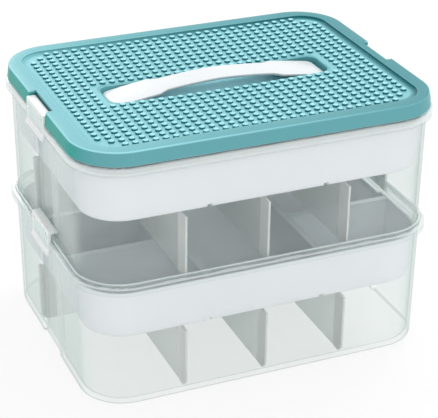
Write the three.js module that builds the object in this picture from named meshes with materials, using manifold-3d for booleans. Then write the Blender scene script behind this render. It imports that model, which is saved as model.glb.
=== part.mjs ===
import * as THREE from 'three';
import { mergeVertices } from 'three/addons/utils/BufferGeometryUtils.js';
import Module from 'manifold-3d';

// Two-storey storage box for building blocks. Millimetres, +Z up, the origin is the middle of the
// underside, +X runs along the long side and the front faces -Y. Each storey is a clear tub that
// holds crossing dividers and a lift-out tray, and a studded lid with a grip closes the top one.

// Overall plan: every wall, rim and tray is the same rounded rectangle, set in or out
const boxLength = 296;
const boxDepth = 224;
const cornerRadius = 38;
const storeyHeight = 100;
const storeyCount = 2;

// Clearances
const seatGap = 0.3;
const slideGap = 0.4;
const overrun = 5;

// Tub
const wallThickness = 2.2;
const floorThickness = 2.6;
const wallDraftShare = 0.012;
const footRounding = 3;
const floorFillet = 5;
const nestGap = 0.45;
const neckHeight = 2;
const upstandThickness = 1.5;
const upstandRise = 9.5;
const flangeRise = 7;
const flangeThickness = 1.8;
const flangeOverhang = 3.65;
const lipHeight = 6.5;
const lipThickness = 1.6;
const flangeEdge = 0.8;
const upstandEdge = 0.4;

// Channel down the middle of each end wall, in which the latches sit
const channelWidth = 44;
const channelDepth = 4.2;
const channelHeadroom = 3;
const channelWall = 2;

// Tray
const trayHeight = 40;
const trayTopGap = 0.6;
const trayGap = 1;
const trayTaper = 1.8;
const trayWall = 1.8;
const trayFloor = 2;
const trayRounding = 2.5;
const partitionWidth = 5.6;
const columnOffset = 49;
const rowOffset = 36;
const cellCorner = 5;
const cellTaper = 0.5;
const grooveWidth = 2.2;
const notchHeight = 3;
const notchWidth = 4;

// Dividers
const dividerThickness = 1.2;
const bandThickness = 1.8;
const bandLength = 15;
const longDividerOffset = 36;
const crossDividerSpacing = 69;
const endDrop = 3.1;
const endDropLength = 12;

// Lid
const lidRise = 19.8;
const skirtRise = 8.3;
const skirtThickness = 1.85;
const skirtTaper = 1.2;
const skirtGap = 0.3;
const skirtEdge = 0.3;
const lidEdge = 1.5;
const lidThickness = 2.2;
const lidWall = 2.25;
const rimWidth = 12;
const rimStep = 2.3;
const rimSlope = 1;
const dishEndDepth = 0.36;
const dishMiddleDepth = 2.3;

// Pocket in the lid and the grip that lies in it
const pocketLength = 190;
const pocketWidth = 36;
const pocketCorner = 9;
const pocketWall = 2;
const gripEndGap = 3;
const gripWidth = 23.5;
const gripEndWidth = 31.5;
const gripThickness = 2.4;
const gripArch = 10;
const gripArchPower = 1.6;
const gripEndLength = 38;
const gripBlendLength = 8;
const gripEndChamfer = 5;
const gripEdge = 0.6;
const gripCrown = 2.4;
const gripTravel = 4;
const postInset = 8;
const postLength = 3;
const postWidth = 12;
const barbWidth = 1.2;
const barbHeight = 2;

// Studs on the lid
const studPitch = 8;
const studWidth = 4.2;
const studHeight = 1.75;
const studInset = 4.3;

// Latch
const latchWidth = 43;
const latchThickness = 2.4;
const latchReach = 6.7;
const latchPinRise = 15.2;
const latchDrop = 17.7;
const latchLipReach = 2;
const latchLipDrop = 1.9;
const latchLipEdge = 0.7;
const latchCorner = 1;
const beadHeight = 0.6;
const beadLength = 2.8;
const panelDepth = 0.6;
const panelMargin = 3.6;
const pinRadius = 0.9;
const pinLength = 1.9;
const pinGap = 0.3;
const latchLedge = 1.7;

// How finely curves are divided
const cornerSteps = 8;
const filletSteps = 4;
const cellSteps = 3;
const barrelSteps = 12;
const dishFacetStuds = 5;
const gripSteps = 24;

// Sizes that follow from the ones above
const cornerX = boxLength / 2 - cornerRadius;
const cornerY = boxDepth / 2 - cornerRadius;
const footRadius = cornerRadius - wallDraftShare * storeyHeight;
const wallInside = cornerRadius - wallThickness;
const upstandInside = footRadius + nestGap;
const upstandOutside = upstandInside + upstandThickness;
const flangeOutside = upstandOutside + flangeOverhang;
const flangeTop = storeyHeight + flangeRise;
const channelBack = boxLength / 2 - channelDepth;
const channelTop = storeyHeight - channelHeadroom;
const barrelRadius = latchThickness / 2;
const pinReach = channelBack + seatGap + barrelRadius;
const trayTop = storeyHeight - trayTopGap;
const trayBottom = trayTop - trayHeight;
const trayOutside = wallInside - trayGap;
const dividerTop = trayBottom - seatGap;
const dividerBottom = floorThickness + seatGap;
const lidBase = storeyHeight * storeyCount;
const lidTop = lidBase + lidRise;
const lidSeat = lidBase + upstandRise + seatGap;
const fieldTop = lidTop - rimStep;
const skirtInside = upstandOutside + skirtGap;
const skirtOutside = skirtInside + skirtThickness;
const lidRadius = skirtOutside - skirtTaper;
const rimInside = lidRadius - rimWidth;
const fieldInside = rimInside - rimSlope;
const gripLength = pocketLength - gripEndGap * 2;
const gripTop = lidTop + gripCrown;
const pocketFloor = gripTop - gripArch - gripThickness - seatGap;
const rightAngle = Math.PI / 2;

const wasm = await Module();
wasm.setup();

function toSolid(geometry) {
  const bare = geometry.clone();
  bare.deleteAttribute('normal');
  bare.deleteAttribute('uv');
  const merged = mergeVertices(bare);
  const vertProperties = new Float32Array(merged.attributes.position.array);
  const triVerts = new Uint32Array(merged.index.array);
  return new wasm.Manifold(new wasm.Mesh({ numProp: 3, vertProperties, triVerts }));
}

function joined(solids) {
  return solids.reduce((whole, solid) => whole.add(solid));
}

function block(lowX, highX, lowY, highY, lowZ, highZ) {
  const box = new THREE.BoxGeometry(highX - lowX, highY - lowY, highZ - lowZ);
  box.translate((lowX + highX) / 2, (lowY + highY) / 2, (lowZ + highZ) / 2);
  return toSolid(box);
}

// A block at each end of the box, from one reach out to another
function endBlocks(nearX, farX, halfWidth, lowZ, highZ) {
  const right = block(nearX, farX, -halfWidth, halfWidth, lowZ, highZ);
  const left = block(-farX, -nearX, -halfWidth, halfWidth, lowZ, highZ);
  return right.add(left);
}

// A rounded rectangle, given by its corner centres and radius, at one height
function outline(centreX, centreY, radius, height, steps) {
  const points = [];
  const signs = [[1, 1], [-1, 1], [-1, -1], [1, -1]];
  signs.forEach(([signX, signY], quarter) => {
    for (let step = 0; step <= steps; step += 1) {
      const angle = (quarter + step / steps) * rightAngle;
      const x = signX * centreX + radius * Math.cos(angle);
      const y = signY * centreY + radius * Math.sin(angle);
      points.push([x, y, height]);
    }
  });
  return points;
}

// Skins a list of loops that have the same number of points and closes the first and the last
function skin(loops) {
  const count = loops[0].length;
  const index = [];
  for (let loop = 0; loop < loops.length - 1; loop += 1) {
    for (let point = 0; point < count; point += 1) {
      const here = loop * count + point;
      const next = loop * count + (point + 1) % count;
      index.push(here, next, next + count, here, next + count, here + count);
    }
  }
  const last = (loops.length - 1) * count;
  for (let point = 1; point < count - 1; point += 1) {
    index.push(0, point + 1, point);
    index.push(last, last + point, last + point + 1);
  }
  const geometry = new THREE.BufferGeometry();
  geometry.setAttribute('position', new THREE.Float32BufferAttribute(loops.flat(2), 3));
  geometry.setIndex(index);
  return toSolid(geometry);
}

// Stacks the box's rounded rectangle along a profile of [corner radius, height] points
function stack(profile) {
  return skin(profile.map(([radius, height]) => outline(cornerX, cornerY, radius, height, cornerSteps)));
}

// A quarter round in a profile, between two directions given as counts of right angles
function quarterRound(centreRadius, centreHeight, radius, from, to) {
  const points = [];
  for (let step = 0; step <= filletSteps; step += 1) {
    const angle = (from + (to - from) * step / filletSteps) * rightAngle;
    points.push([centreRadius + radius * Math.cos(angle), centreHeight + radius * Math.sin(angle)]);
  }
  return points;
}

// Extrudes an outline of [along, up] points to both sides of the plane y = 0
function plateAlong(points, thickness) {
  const shape = new THREE.Shape(points.map(([along, up]) => new THREE.Vector2(along, up)));
  const geometry = new THREE.ExtrudeGeometry(shape, { depth: thickness, bevelEnabled: false });
  geometry.translate(0, 0, -thickness / 2);
  geometry.rotateX(rightAngle);
  return toSolid(geometry);
}

function pinAcross(radius, halfLength, x, z) {
  const pin = new THREE.CylinderGeometry(radius, radius, halfLength * 2, barrelSteps);
  pin.translate(x, 0, 0);
  pin.translate(0, 0, z);
  return toSolid(pin);
}

function wallInsideAt(height) {
  return wallInside - wallDraftShare * (storeyHeight - height);
}

function makeTub() {
  const footFlat = footRadius - footRounding;
  const footRound = quarterRound(footFlat, footRounding, footRounding, -1, 0);
  const neckBottom = storeyHeight - neckHeight;
  const neckRadius = footRadius + wallDraftShare * neckBottom;
  const seatOverlap = wallInside - footFlat;
  const seatRise = footRounding - Math.sqrt(footRounding ** 2 - seatOverlap ** 2);
  const shoulder = storeyHeight + seatRise - seatGap;
  const upstandTop = storeyHeight + upstandRise;
  const filletTop = floorThickness + floorFillet;
  const filletCentre = wallInsideAt(filletTop) - floorFillet;
  const profile = [
    ...footRound,
    [neckRadius, neckBottom],
    [upstandOutside, storeyHeight],
    [upstandOutside, flangeTop - flangeThickness],
    [flangeOutside - lipThickness, flangeTop - flangeThickness],
    [flangeOutside - lipThickness, flangeTop - lipHeight],
    [flangeOutside, flangeTop - lipHeight],
    [flangeOutside, flangeTop - flangeEdge],
    [flangeOutside - flangeEdge, flangeTop],
    [upstandOutside, flangeTop],
    [upstandOutside, upstandTop - upstandEdge],
    [upstandOutside - upstandEdge, upstandTop],
    [upstandInside + upstandEdge, upstandTop],
    [upstandInside, upstandTop - upstandEdge],
    [upstandInside, shoulder],
    [wallInside, shoulder],
    [wallInside, storeyHeight],
    ...quarterRound(filletCentre, filletTop, floorFillet, 0, -1),
  ];
  const vessel = stack(profile);
  const envelope = stack([...footRound, [neckRadius, neckBottom]]);
  const halfChannel = channelWidth / 2;
  const outside = boxLength / 2 + overrun;
  const channelShell = endBlocks(channelBack - channelWall, outside, halfChannel + channelWall, 0, neckBottom);
  const channel = endBlocks(channelBack, outside, halfChannel, -overrun, channelTop);
  const flangeFar = cornerX + flangeOutside + overrun;
  const flangeNear = cornerX + upstandOutside;
  const flangeCut = endBlocks(flangeNear, flangeFar, halfChannel, channelTop, upstandTop + overrun);
  const sockets = [-pinReach, pinReach].map((x) =>
    pinAcross(pinRadius + pinGap, halfChannel + channelWall + overrun, x, latchPinRise));
  return vessel.add(envelope.intersect(channelShell))
    .subtract(channel)
    .subtract(flangeCut)
    .subtract(joined(sockets));
}

function makeTray() {
  const bottomRadius = trayOutside - trayTaper;
  const outer = stack([
    ...quarterRound(bottomRadius - trayRounding, trayBottom + trayRounding, trayRounding, -1, 0),
    [trayOutside, trayTop],
  ]);
  const cellBottom = trayBottom + trayFloor;
  const inner = stack([
    [bottomRadius - trayWall, cellBottom],
    [trayOutside - trayWall + trayTaper * overrun / trayHeight, trayTop + overrun],
  ]);
  const halfRecess = channelWidth / 2 + channelWall + slideGap;
  const recessNear = channelBack - channelWall - slideGap;
  const outside = boxLength / 2;
  const recess = endBlocks(recessNear, outside, halfRecess, trayBottom - overrun, trayTop + overrun);
  const recessWall = endBlocks(recessNear - trayWall, outside, halfRecess + trayWall,
    trayBottom - overrun, trayTop + overrun);
  const halfPartition = partitionWidth / 2;
  const cell = (lowX, highX, lowY, highY) => {
    const centreX = (lowX + highX) / 2;
    const centreY = (lowY + highY) / 2;
    const reachX = (highX - lowX) / 2 - cellCorner;
    const reachY = (highY - lowY) / 2 - cellCorner;
    const rings = [
      outline(reachX, reachY, cellCorner - cellTaper, cellBottom, cellSteps),
      outline(reachX, reachY, cellCorner, trayTop + overrun, cellSteps),
    ];
    return skin(rings.map((ring) => ring.map(([x, y, z]) => [x + centreX, y + centreY, z])));
  };
  const farX = boxLength / 2 + cellCorner;
  const farY = boxDepth / 2 + cellCorner;
  const cells = [cell(-columnOffset + halfPartition, columnOffset - halfPartition, -farY, farY)];
  const rows = [
    [-farY, -rowOffset - halfPartition],
    [-rowOffset + halfPartition, rowOffset - halfPartition],
    [rowOffset + halfPartition, farY],
  ];
  rows.forEach(([lowY, highY]) => {
    cells.push(cell(columnOffset + halfPartition, farX, lowY, highY));
    cells.push(cell(-farX, -columnOffset - halfPartition, lowY, highY));
  });
  const hollows = inner.subtract(recessWall).intersect(joined(cells));
  const grooveTop = trayTop - trayFloor;
  const innerY = cornerY + bottomRadius - trayWall - grooveWidth;
  const innerX = recessNear - trayWall - grooveWidth;
  const cuts = [];
  [-1, 1].forEach((side) => {
    const x = side * columnOffset;
    const y = side * rowOffset;
    cuts.push(block(x - grooveWidth / 2, x + grooveWidth / 2, -innerY, innerY, 0, grooveTop));
    cuts.push(block(x - notchWidth / 2, x + notchWidth / 2, -farY, farY, 0, trayBottom + notchHeight));
    [-1, 1].forEach((end) => {
      const nearX = columnOffset + grooveWidth / 2 - overrun / 2;
      const [lowX, highX] = [end * nearX, end * innerX].sort((a, b) => a - b);
      cuts.push(block(lowX, highX, y - grooveWidth / 2, y + grooveWidth / 2, 0, grooveTop));
      const [lowEnd, highEnd] = [end * innerX, end * farX].sort((a, b) => a - b);
      cuts.push(block(lowEnd, highEnd, y - notchWidth / 2, y + notchWidth / 2, 0, trayBottom + notchHeight));
    });
  });
  return outer.subtract(recess).subtract(hollows).subtract(joined(cuts));
}

// A divider panel in the plane y = 0 with a thicker band at each end. Its ends follow the tub's
// wall, its foot clears the fillet round the floor, and its top corners are cut back.
function makeDivider(cornerReach, slots) {
  const endAt = (height) => cornerReach + wallInsideAt(height) - slideGap;
  const lowEnd = endAt(dividerBottom + floorFillet);
  const highEnd = endAt(dividerTop);
  const half = [
    [lowEnd - floorFillet, dividerBottom],
    [lowEnd, dividerBottom + floorFillet],
    [highEnd, dividerTop - endDrop],
    [highEnd - endDropLength, dividerTop - endDrop],
    [highEnd - endDropLength - endDrop, dividerTop],
  ];
  const mirrored = half.map(([along, up]) => [-along, up]).reverse();
  const panelOutline = [...half, ...mirrored];
  const panel = plateAlong(panelOutline, dividerThickness);
  const bandNear = lowEnd - bandLength;
  const bandZone = endBlocks(bandNear, highEnd + overrun, bandThickness, 0, dividerTop + overrun);
  const bands = plateAlong(panelOutline, bandThickness).intersect(bandZone);
  return panel.add(bands).subtract(joined(slots));
}

// Half-lap slots: the cross dividers straddle the long one from above
const lapMiddle = (dividerTop + dividerBottom) / 2;
const halfSlot = dividerThickness / 2 + slideGap;

function makeLongDivider() {
  const slots = [-crossDividerSpacing, 0, crossDividerSpacing].map((x) =>
    block(x - halfSlot, x + halfSlot, -overrun, overrun, lapMiddle - seatGap, dividerTop + overrun));
  return makeDivider(cornerX, slots);
}

function makeCrossDivider() {
  const middle = longDividerOffset;
  const slot = block(middle - halfSlot, middle + halfSlot, -overrun, overrun, 0, lapMiddle);
  return makeDivider(cornerY, [slot]);
}

function dishDrop(x, y) {
  const bowX = Math.max(0, 1 - (x / (cornerX + fieldInside)) ** 2);
  const bowY = Math.max(0, 1 - (y / (cornerY + fieldInside)) ** 2);
  return dishEndDepth * bowX + dishMiddleDepth * bowX * bowY;
}

// Everything above the dished top surface of the lid, or above a copy of it set lower
function aboveDish(setDown) {
  const facet = dishFacetStuds * studPitch;
  const columns = 2 * Math.ceil((cornerX + rimInside) / facet - 1 / 2) + 1;
  const rows = 2 * Math.ceil((cornerY + rimInside) / facet - 1 / 2) + 1;
  const ceiling = lidTop + overrun;
  const positions = [];
  const index = [];
  const vertex = (column, row, level) =>
    (level * (rows + 1) + row) * (columns + 1) + column;
  [0, 1].forEach((level) => {
    for (let row = 0; row <= rows; row += 1) {
      for (let column = 0; column <= columns; column += 1) {
        const x = (column - columns / 2) * facet;
        const y = (row - rows / 2) * facet;
        positions.push(x, y, level ? ceiling : fieldTop - dishDrop(x, y) - setDown);
      }
    }
  });
  const quad = (a, b, c, d) => index.push(a, b, c, a, c, d);
  for (let row = 0; row < rows; row += 1) {
    for (let column = 0; column < columns; column += 1) {
      quad(vertex(column, row, 0), vertex(column, row + 1, 0),
        vertex(column + 1, row + 1, 0), vertex(column + 1, row, 0));
      quad(vertex(column, row, 1), vertex(column + 1, row, 1),
        vertex(column + 1, row + 1, 1), vertex(column, row + 1, 1));
    }
  }
  for (let column = 0; column < columns; column += 1) {
    quad(vertex(column, 0, 0), vertex(column + 1, 0, 0), vertex(column + 1, 0, 1), vertex(column, 0, 1));
    quad(vertex(column, rows, 0), vertex(column, rows, 1),
      vertex(column + 1, rows, 1), vertex(column + 1, rows, 0));
  }
  for (let row = 0; row < rows; row += 1) {
    quad(vertex(0, row, 0), vertex(0, row, 1), vertex(0, row + 1, 1), vertex(0, row + 1, 0));
    quad(vertex(columns, row, 0), vertex(columns, row + 1, 0),
      vertex(columns, row + 1, 1), vertex(columns, row, 1));
  }
  const geometry = new THREE.BufferGeometry();
  geometry.setAttribute('position', new THREE.Float32BufferAttribute(positions, 3));
  geometry.setIndex(index);
  return toSolid(geometry);
}

function roundedBlock(length, width, corner, lowZ, highZ) {
  const loops = [lowZ, highZ].map((height) =>
    outline(length / 2 - corner, width / 2 - corner, corner, height, filletSteps));
  return skin(loops);
}

// Every other stud of a square lattice over the field, as on a chessboard, clear of the field's
// corners and of the pocket
function makeStuds() {
  const reach = fieldInside - studInset;
  const columns = Math.floor((cornerX + reach) / studPitch);
  const rows = Math.floor((cornerY + reach) / studPitch);
  const halfStud = studWidth / 2;
  const studs = [];
  for (let column = -columns; column <= columns; column += 1) {
    for (let row = -rows; row <= rows; row += 1) {
      const x = column * studPitch;
      const y = row * studPitch;
      const pastX = Math.max(0, Math.abs(x) - cornerX);
      const pastY = Math.max(0, Math.abs(y) - cornerY);
      const inField = Math.hypot(pastX, pastY) <= reach;
      const overPocket = Math.abs(x) < pocketLength / 2 + halfStud && Math.abs(y) < pocketWidth / 2 + halfStud;
      if ((column + row) % 2 === 0 && inField && !overPocket) {
        const top = fieldTop - dishDrop(x, y) + studHeight;
        studs.push(block(x - halfStud, x + halfStud, y - halfStud, y + halfStud, top - studHeight * 2, top));
      }
    }
  }
  return wasm.Manifold.union(studs);
}

function makeLid() {
  const skirtLow = lidBase + skirtRise;
  const body = stack([
    [skirtOutside - skirtEdge, skirtLow],
    [skirtOutside, skirtLow + skirtEdge],
    ...quarterRound(lidRadius - lidEdge, lidTop - lidEdge, lidEdge, 0, 1),
  ]);
  const seatInside = upstandInside - seatGap;
  const rimUnder = lidTop - lidThickness;
  const cavityTop = stack([[seatInside, skirtLow - overrun], [seatInside, rimUnder]]);
  const skirtCavity = stack([[skirtInside, skirtLow - overrun], [skirtInside, lidSeat]]);
  const fieldKeep = stack([[rimInside + lidWall, 0], [rimInside + lidWall, lidTop]])
    .intersect(aboveDish(lidThickness));
  const pocketKeep = roundedBlock(pocketLength + pocketWall * 2, pocketWidth + pocketWall * 2,
    pocketCorner + pocketWall, pocketFloor - pocketWall, lidTop);
  const ledge = lidBase + latchPinRise - latchLedge;
  const halfNotch = channelWidth / 2;
  const outside = cornerX + skirtOutside + overrun;
  const notchKeep = endBlocks(channelBack - channelWall, outside, halfNotch + channelWall,
    ledge - channelWall, lidTop);
  const cavity = cavityTop.add(skirtCavity)
    .subtract(fieldKeep)
    .subtract(pocketKeep)
    .subtract(notchKeep.subtract(skirtCavity));
  const recess = stack([
    [fieldInside - rimSlope, fieldTop - rimStep - dishMiddleDepth],
    [fieldInside, fieldTop],
    [rimInside, lidTop],
    [rimInside, lidTop + overrun],
  ]).intersect(aboveDish(0));
  const pocket = roundedBlock(pocketLength, pocketWidth, pocketCorner, pocketFloor, lidTop + overrun);
  const notch = endBlocks(channelBack, outside, halfNotch, ledge, lidTop + overrun);
  const skirtCut = endBlocks(cornerX + skirtInside, outside, halfNotch, skirtLow - overrun, lidTop);
  const sockets = [-pinReach, pinReach].map((x) =>
    pinAcross(pinRadius + pinGap, halfNotch + channelWall + overrun, x, lidBase + latchPinRise));
  const socketZone = block(-outside, outside, -halfNotch - channelWall, halfNotch + channelWall, 0, lidTop);
  const slots = [-1, 1].map((side) => {
    const x = side * (gripLength / 2 - postInset);
    const halfLength = postLength / 2 + slideGap;
    const halfWidth = postWidth / 2 + slideGap;
    return block(x - halfLength, x + halfLength, -halfWidth, halfWidth,
      pocketFloor - pocketWall - overrun, pocketFloor + overrun);
  });
  return body.subtract(cavity)
    .subtract(recess)
    .add(makeStuds())
    .subtract(pocket)
    .subtract(notch)
    .subtract(skirtCut)
    .subtract(joined(sockets).intersect(socketZone))
    .subtract(joined(slots));
}

// The grip: an arched strap with wider ends, and a barbed post under each end
function makeGrip() {
  const halfLength = gripLength / 2;
  const endStart = halfLength - gripEndLength;
  const halfWidthAt = (reach) => {
    const blend = THREE.MathUtils.smoothstep(reach, endStart - gripBlendLength, endStart);
    const width = gripWidth + (gripEndWidth - gripWidth) * blend;
    const past = Math.max(0, reach - (halfLength - gripEndChamfer));
    const cut = gripEndChamfer - Math.sqrt(gripEndChamfer ** 2 - past ** 2);
    return width / 2 - cut;
  };
  const loops = [];
  for (let step = 0; step <= gripSteps; step += 1) {
    const x = -Math.cos(step / gripSteps * Math.PI) * halfLength;
    const reach = Math.abs(x);
    const top = gripTop - gripArch * (reach / halfLength) ** gripArchPower;
    const bottom = top - gripThickness;
    const side = halfWidthAt(reach);
    const half = [[side - gripEdge, bottom], [side, bottom + gripEdge], [side, top - gripEdge],
      [side - gripEdge, top]];
    const mirrored = half.map(([y, z]) => [-y, z]).reverse();
    loops.push([...half, ...mirrored].map(([y, z]) => [x, y, z]));
  }
  const strap = skin(loops);
  const barbTop = pocketFloor - pocketWall - gripTravel - seatGap;
  const posts = [-1, 1].flatMap((side) => {
    const x = side * (halfLength - postInset);
    const lowX = x - postLength / 2;
    const highX = x + postLength / 2;
    const halfWidth = postWidth / 2;
    const postTop = pocketFloor + seatGap + gripThickness;
    return [
      block(lowX, highX, -halfWidth, halfWidth, barbTop - barbHeight, postTop),
      block(lowX, highX, -halfWidth - barbWidth, halfWidth + barbWidth, barbTop - barbHeight, barbTop),
    ];
  });
  return joined([strap, ...posts]);
}

// The latch about its own pin: a flat top, a front plate with a framed panel and a flared finger
// lip, and a low bead behind the plate
function makeLatch() {
  const inner = latchReach - latchThickness;
  const lipOut = latchReach + latchLipReach;
  const lipLow = -latchDrop - latchLipDrop;
  const beadTop = -latchDrop + beadLength;
  const barrel = [];
  for (let step = 0; step <= barrelSteps / 2; step += 1) {
    const angle = rightAngle + step / barrelSteps * 4 * rightAngle;
    barrel.push([barrelRadius * Math.cos(angle), barrelRadius * Math.sin(angle)]);
  }
  const section = [
    ...barrel,
    [inner, -barrelRadius],
    [inner, beadTop],
    [inner - beadHeight, beadTop - beadHeight],
    [inner - beadHeight, -latchDrop + beadHeight],
    [inner, -latchDrop],
    [lipOut - latchLipEdge, lipLow - latchLipEdge],
    [lipOut, lipLow],
    [latchReach, -latchDrop],
    [latchReach, barrelRadius - latchCorner],
    [latchReach - latchCorner, barrelRadius],
  ];
  const halfWidth = latchWidth / 2;
  const panel = block(latchReach - panelDepth, latchReach + overrun,
    -halfWidth + panelMargin, halfWidth - panelMargin, -latchDrop + panelMargin, barrelRadius - panelMargin);
  const pins = pinAcross(pinRadius, halfWidth + pinLength, 0, 0);
  return plateAlong(section, latchWidth).subtract(panel).add(pins);
}

const clearPlastic = { color: 0xdcefe9, roughness: 0.12, metalness: 0, transparent: true, opacity: 0.35 };
const frostedPlastic = { color: 0xe4ece9, roughness: 0.45, metalness: 0, transparent: true, opacity: 0.6 };
const whitePlastic = { color: 0xf1f3f3, roughness: 0.35, metalness: 0 };
const trayPlastic = { color: 0xe9edef, roughness: 0.5, metalness: 0 };
const tealPlastic = { color: 0x8fd0d4, roughness: 0.38, metalness: 0 };

function toGeometry(solid) {
  const result = solid.getMesh();
  const geometry = new THREE.BufferGeometry();
  geometry.setAttribute('position', new THREE.Float32BufferAttribute(result.vertProperties, result.numProp));
  geometry.setIndex(new THREE.BufferAttribute(result.triVerts, 1));
  geometry.computeVertexNormals();
  return geometry;
}

function named(name, geometry, material) {
  const mesh = new THREE.Mesh(geometry, new THREE.MeshStandardMaterial(material));
  mesh.name = name;
  return mesh;
}

const tubGeometry = toGeometry(makeTub());
const trayGeometry = toGeometry(makeTray());
const longDividerGeometry = toGeometry(makeLongDivider());
const crossDividerGeometry = toGeometry(makeCrossDivider());
const latchGeometry = toGeometry(makeLatch());

// A pair of latches, one at each end, hung at the given height
function latchPair(prefix, height) {
  return [['left', -1], ['right', 1]].map(([side, sign]) => {
    const latch = named(`${prefix}_latch_${side}`, latchGeometry, whitePlastic);
    latch.position.set(sign * pinReach, 0, height);
    latch.rotation.z = sign > 0 ? 0 : Math.PI;
    return latch;
  });
}

function makeStorey(prefix) {
  const storey = new THREE.Group();
  const longDivider = named(`${prefix}_long_divider`, longDividerGeometry, frostedPlastic);
  longDivider.position.y = longDividerOffset;
  storey.add(named(`${prefix}_tub`, tubGeometry, clearPlastic), longDivider);
  ['left', 'middle', 'right'].forEach((place, order) => {
    const divider = named(`${prefix}_cross_divider_${place}`, crossDividerGeometry, frostedPlastic);
    divider.position.x = (order - 1) * crossDividerSpacing;
    divider.rotation.z = rightAngle;
    storey.add(divider);
  });
  storey.add(named(`${prefix}_tray`, trayGeometry, trayPlastic));
  return storey;
}

const box = new THREE.Group();
const lowerStorey = makeStorey('lower');
const upperStorey = makeStorey('upper');
upperStorey.position.z = storeyHeight;
upperStorey.add(...latchPair('tub', latchPinRise));
box.add(lowerStorey, upperStorey);
box.add(named('lid', toGeometry(makeLid()), tealPlastic));
box.add(named('handle', toGeometry(makeGrip()), whitePlastic));
box.add(...latchPair('lid', lidBase + latchPinRise));

export default box;
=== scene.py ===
import math

import bmesh
import bpy
import numpy as np
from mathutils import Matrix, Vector


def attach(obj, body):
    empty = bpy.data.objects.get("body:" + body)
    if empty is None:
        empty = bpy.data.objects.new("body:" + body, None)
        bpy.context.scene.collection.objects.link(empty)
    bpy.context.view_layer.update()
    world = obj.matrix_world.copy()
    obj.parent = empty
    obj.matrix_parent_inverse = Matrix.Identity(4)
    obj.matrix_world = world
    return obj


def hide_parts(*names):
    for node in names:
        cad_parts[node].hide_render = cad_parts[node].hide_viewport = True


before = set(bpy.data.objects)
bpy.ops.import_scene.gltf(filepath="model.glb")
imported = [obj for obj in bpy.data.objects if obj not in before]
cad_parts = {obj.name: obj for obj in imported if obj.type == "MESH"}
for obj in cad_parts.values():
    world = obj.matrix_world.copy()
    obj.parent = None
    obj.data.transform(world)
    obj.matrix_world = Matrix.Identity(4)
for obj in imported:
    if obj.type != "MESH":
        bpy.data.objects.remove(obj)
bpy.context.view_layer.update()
print("frame loaded")

# Lengths in the dictionaries are millimetres, and the meshes are made in metres.


def addObject(name, data):
    added = bpy.data.objects.new(name, data)
    bpy.context.scene.collection.objects.link(added)
    return added


# The photograph's camera: where it stands, its turn about X, Y and Z in radians, and its lens
cameraValues = {
    "place": (-463.3, -1092.6, 702.9),
    "turn": (1.0994854, -0.0091311, -0.3996126),
    "lens": 130.277,
    "sensor": 36,
    "farthest": 20000,
}

cameraData = bpy.data.cameras.new("camera")
cameraData.lens = cameraValues["lens"]
cameraData.sensor_width = cameraValues["sensor"]
cameraData.sensor_fit = "HORIZONTAL"
cameraData.clip_end = cameraValues["farthest"] / 1000
camera = addObject("camera", cameraData)
camera.location = [value / 1000 for value in cameraValues["place"]]
camera.rotation_euler = cameraValues["turn"]
bpy.context.scene.camera = camera

# Angles in degrees
meshValues = {
    "sharpAngle": 32,  # past it an edge is shaded sharp
    "merge": 0.004,  # points nearer than this become one
    "copyMerge": 0.001,
    "flatAngle": 0.5,  # under it the faces of a copied solid are joined
    "bevelAngle": 40,  # past it an edge is rounded
    "bevelSegments": 2,
}


def gridFaces(rows, columns):
    # Quads between neighbouring rings, each ring closed on itself (corner, next in the ring, the
    # same two one ring further), and one face at each end
    row = np.arange(rows - 1)[:, None] * columns
    column = np.arange(columns)[None, :]
    following = (column + 1) % columns
    corners = [row + column, row + following, row + columns + following, row + columns + column]
    quads = np.stack(corners, axis=-1).reshape(-1, 4).tolist()
    firstEnd = list(range(columns))[::-1]
    lastEnd = list(range((rows - 1) * columns, rows * columns))
    return quads + [firstEnd, lastEnd]


def ringsToShell(rings, tones=None):
    # rings is an array of rings x points x 3. tones, which the materials read, is one number a
    # ring or one a point.
    rows, columns = rings.shape[:2]
    tone = np.zeros(rows) if tones is None else np.array(tones)
    tone = np.broadcast_to(tone.reshape(rows, -1), (rows, columns)).ravel()
    return rings.reshape(-1, 3), gridFaces(rows, columns), tone


def moved(shell, shift):
    points, faces, tones = shell
    return points + shift, faces, tones


def setPointNumbers(mesh, name, numbers):
    attribute = mesh.attributes.new(name, "FLOAT", "POINT")
    attribute.data.foreach_set("value", numbers.astype(np.float32))


def meshPoints(mesh):
    # The points of a mesh in millimetres
    points = np.empty(len(mesh.vertices) * 3, dtype=np.float32)
    mesh.vertices.foreach_get("co", points)
    return points.reshape(-1, 3) * 1000


def smoothShading(mesh, sharpAngle):
    mesh.shade_smooth()
    mesh.set_sharp_from_angle(angle=math.radians(sharpAngle))


def meshFrom(name, shells, sharpAngle=meshValues["sharpAngle"]):
    # One object from a list of closed shells of points, faces and tones
    points, faces, tones, start = [], [], [], 0
    for shellPoints, shellFaces, shellTones in shells:
        points.append(shellPoints)
        faces += [[index + start for index in face] for face in shellFaces]
        tones.append(shellTones)
        start += len(shellPoints)
    mesh = bpy.data.meshes.new(name)
    mesh.from_pydata((np.concatenate(points) / 1000).tolist(), [], faces)
    setPointNumbers(mesh, "tone", np.concatenate(tones))
    merge = meshValues["merge"] / 1000
    work = bmesh.new()
    work.from_mesh(mesh)
    bmesh.ops.remove_doubles(work, verts=work.verts, dist=merge)
    bmesh.ops.dissolve_degenerate(work, edges=work.edges, dist=merge)
    work.to_mesh(mesh)
    work.free()
    smoothShading(mesh, sharpAngle)
    return addObject(name, mesh)


def softenEdges(piece, width):
    bevel = piece.modifiers.new("edges", "BEVEL")
    bevel.width = width / 1000
    bevel.segments = meshValues["bevelSegments"]
    bevel.limit_method = "ANGLE"
    bevel.angle_limit = math.radians(meshValues["bevelAngle"])
    bevel.harden_normals = True


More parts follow.
